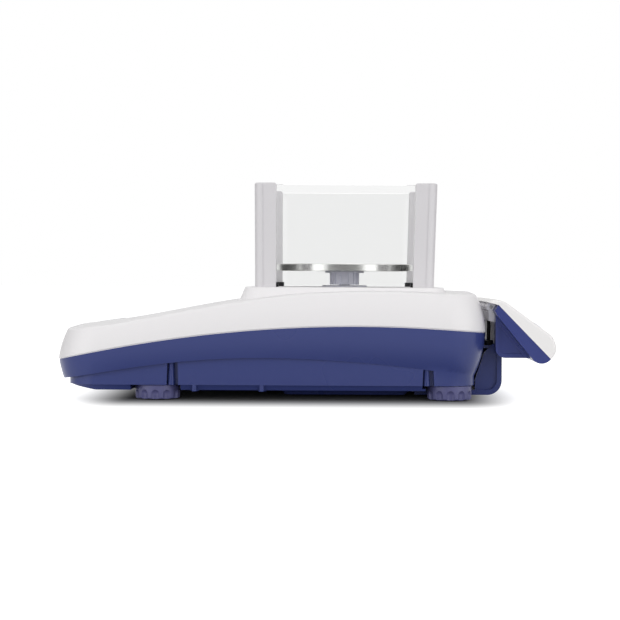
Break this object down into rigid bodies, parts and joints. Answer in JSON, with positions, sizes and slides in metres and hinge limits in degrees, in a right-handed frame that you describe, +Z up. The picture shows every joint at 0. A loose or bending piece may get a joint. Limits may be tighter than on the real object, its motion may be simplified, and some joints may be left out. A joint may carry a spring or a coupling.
{
  "type": "precision balance",
  "caption": "Laboratory precision balance with a round pan in an open glass draft shield and a tilting display terminal.",
  "frame": {"origin": "on the table, under the middle of the whole outline", "axes": "+Z up, -Y towards the operator and the terminal, +X to the operator's right"},
  "size_m": [0.208, 0.4121, 0.18],
  "materials": {
    "white_shell": "satin, very fine moulded texture",
    "blue_base": "fine moulded texture",
    "terminal_white": "satin",
    "terminal_blue": "fine moulded texture",
    "hinge_grey": "satin",
    "foot_plastic": "satin",
    "rubber_black": "matte",
    "post_grey": "satin",
    "glass": "polished",
    "pan_steel": "brushed",
    "column_grey": "satin",
    "brass": "machined",
    "plate_aluminium": "milled",
    "steel_screws": "zinc plated",
    "magnet_steel": "nickel plated",
    "board_green": "solder mask",
    "connector_black": "moulded",
    "connector_metal": "nickel plated",
    "level_ring": "satin",
    "level_fluid": "polished, tinted fluid",
    "window": "clear window over a grey display",
    "lcd": "glass",
    "key_grey": "satin",
    "key_blue": "satin",
    "mat_rubber": "silicone"
  },
  "bodies": {
    "root": {"top_housing": "white_shell", "base_housing": "blue_base", "bottom_cover": "blue_base", "hook_cap": "connector_black", "housing_screws": "steel_screws", "cover_screws": "steel_screws", "foot_inserts": "brass", "cell_plate": "plate_aluminium", "weighing_cell": "plate_aluminium", "magnet_pot": "magnet_steel", "main_board": "board_green", "inner_screws": "steel_screws", "power_jack": "connector_black", "serial_port": "connector_metal", "level_ring": "level_ring", "level_vial": "level_fluid", "column_collar": "column_grey", "terminal_bracket": "blue_base", "bracket_screws": "steel_screws", "hinge_carrier": "hinge_grey", "hinge_pin": "steel_screws", "terminal_cable": "rubber_black", "cable_grommet": "rubber_black"},
    "pan_support": {"pan_support": "column_grey"},
    "pan": {"pan": "pan_steel"},
    "draft_shield": {"shield_feet": "rubber_black", "shield_post_rear_left": "post_grey", "shield_post_rear_right": "post_grey", "shield_post_front_left": "post_grey", "shield_post_front_right": "post_grey", "glass_front": "glass", "glass_rear": "glass", "glass_left": "glass", "glass_right": "glass"},
    "terminal": {"terminal_cover": "terminal_white", "terminal_shell": "terminal_blue", "terminal_back_box": "terminal_blue", "display_window": "window", "lcd_module": "lcd", "terminal_board": "board_green", "terminal_screws": "steel_screws", "key_mat": "mat_rubber"},
    "foot_pad_rear_left": {"foot_pad_rear_left": "rubber_black"},
    "foot_knob_rear_left": {"foot_knob_rear_left": "foot_plastic"},
    "foot_pad_rear_right": {"foot_pad_rear_right": "rubber_black"},
    "foot_knob_rear_right": {"foot_knob_rear_right": "foot_plastic"},
    "foot_pad_front_left": {"foot_pad_front_left": "rubber_black"},
    "foot_knob_front_left": {"foot_knob_front_left": "foot_plastic"},
    "foot_pad_front_right": {"foot_pad_front_right": "rubber_black"},
    "foot_knob_front_right": {"foot_knob_front_right": "foot_plastic"},
    "key_on_off": {"key_on_off": "key_blue"},
    "key_mode": {"key_mode": "key_grey"},
    "key_cal": {"key_cal": "key_grey"},
    "key_count": {"key_count": "key_grey"},
    "key_print": {"key_print": "key_grey"},
    "key_tare": {"key_tare": "key_blue"}
  },
  "joints": [
    {"name": "load_travel", "type": "slide", "parent": "root", "child": "pan_support", "axis": [0, 0, -1], "range_m": [0, 0.0004], "stiffness_N_per_m": 20000},
    {"name": "pan_lift", "type": "slide", "parent": "pan_support", "child": "pan", "axis": [0, 0, 1], "range_m": [0, 0.1]},
    {"name": "shield_lift", "type": "slide", "parent": "root", "child": "draft_shield", "axis": [0, 0, 1], "range_m": [0, 0.12]},
    {"name": "terminal_tilt", "type": "hinge", "parent": "root", "child": "terminal", "pos_m": [0, -0.1543, 0.0773], "axis": [-1, 0, 0], "range_deg": [0, 25]},
    {"name": "foot_height_rear_left", "type": "slide", "parent": "root", "child": "foot_pad_rear_left", "axis": [0, 0, -1], "range_m": [0, 0.008]},
    {"name": "foot_turn_rear_left", "type": "hinge", "parent": "foot_pad_rear_left", "child": "foot_knob_rear_left", "pos_m": [-0.0745, 0.1233, 0.006], "axis": [0, 0, -1], "range_deg": [0, 2300]},
    {"name": "foot_height_rear_right", "type": "slide", "parent": "root", "child": "foot_pad_rear_right", "axis": [0, 0, -1], "range_m": [0, 0.008]},
    {"name": "foot_turn_rear_right", "type": "hinge", "parent": "foot_pad_rear_right", "child": "foot_knob_rear_right", "pos_m": [0.0745, 0.1233, 0.006], "axis": [0, 0, -1], "range_deg": [0, 2300]},
    {"name": "foot_height_front_left", "type": "slide", "parent": "root", "child": "foot_pad_front_left", "axis": [0, 0, -1], "range_m": [0, 0.008]},
    {"name": "foot_turn_front_left", "type": "hinge", "parent": "foot_pad_front_left", "child": "foot_knob_front_left", "pos_m": [-0.0745, -0.1187, 0.006], "axis": [0, 0, -1], "range_deg": [0, 2300]},
    {"name": "foot_height_front_right", "type": "slide", "parent": "root", "child": "foot_pad_front_right", "axis": [0, 0, -1], "range_m": [0, 0.008]},
    {"name": "foot_turn_front_right", "type": "hinge", "parent": "foot_pad_front_right", "child": "foot_knob_front_right", "pos_m": [0.0745, -0.1187, 0.006], "axis": [0, 0, -1], "range_deg": [0, 2300]},
    {"name": "press_on_off", "type": "slide", "parent": "terminal", "child": "key_on_off", "axis": [0, 0.5873, -0.8093], "range_m": [0, 0.0007], "stiffness_N_per_m": 800},
    {"name": "press_mode", "type": "slide", "parent": "terminal", "child": "key_mode", "axis": [0, 0.5873, -0.8093], "range_m": [0, 0.0007], "stiffness_N_per_m": 800},
    {"name": "press_cal", "type": "slide", "parent": "terminal", "child": "key_cal", "axis": [0, 0.5873, -0.8093], "range_m": [0, 0.0007], "stiffness_N_per_m": 800},
    {"name": "press_count", "type": "slide", "parent": "terminal", "child": "key_count", "axis": [0, 0.5873, -0.8093], "range_m": [0, 0.0007], "stiffness_N_per_m": 800},
    {"name": "press_print", "type": "slide", "parent": "terminal", "child": "key_print", "axis": [0, 0.5873, -0.8093], "range_m": [0, 0.0007], "stiffness_N_per_m": 800},
    {"name": "press_tare", "type": "slide", "parent": "terminal", "child": "key_tare", "axis": [0, 0.5873, -0.8093], "range_m": [0, 0.0007], "stiffness_N_per_m": 800}
  ],
  "couplings": [
    {"joint": "foot_height_rear_left", "follows": "foot_turn_rear_left", "m_per_rad": 0.00019894},
    {"joint": "foot_height_rear_right", "follows": "foot_turn_rear_right", "m_per_rad": 0.00019894},
    {"joint": "foot_height_front_left", "follows": "foot_turn_front_left", "m_per_rad": 0.00019894},
    {"joint": "foot_height_front_right", "follows": "foot_turn_front_right", "m_per_rad": 0.00019894}
  ]
}
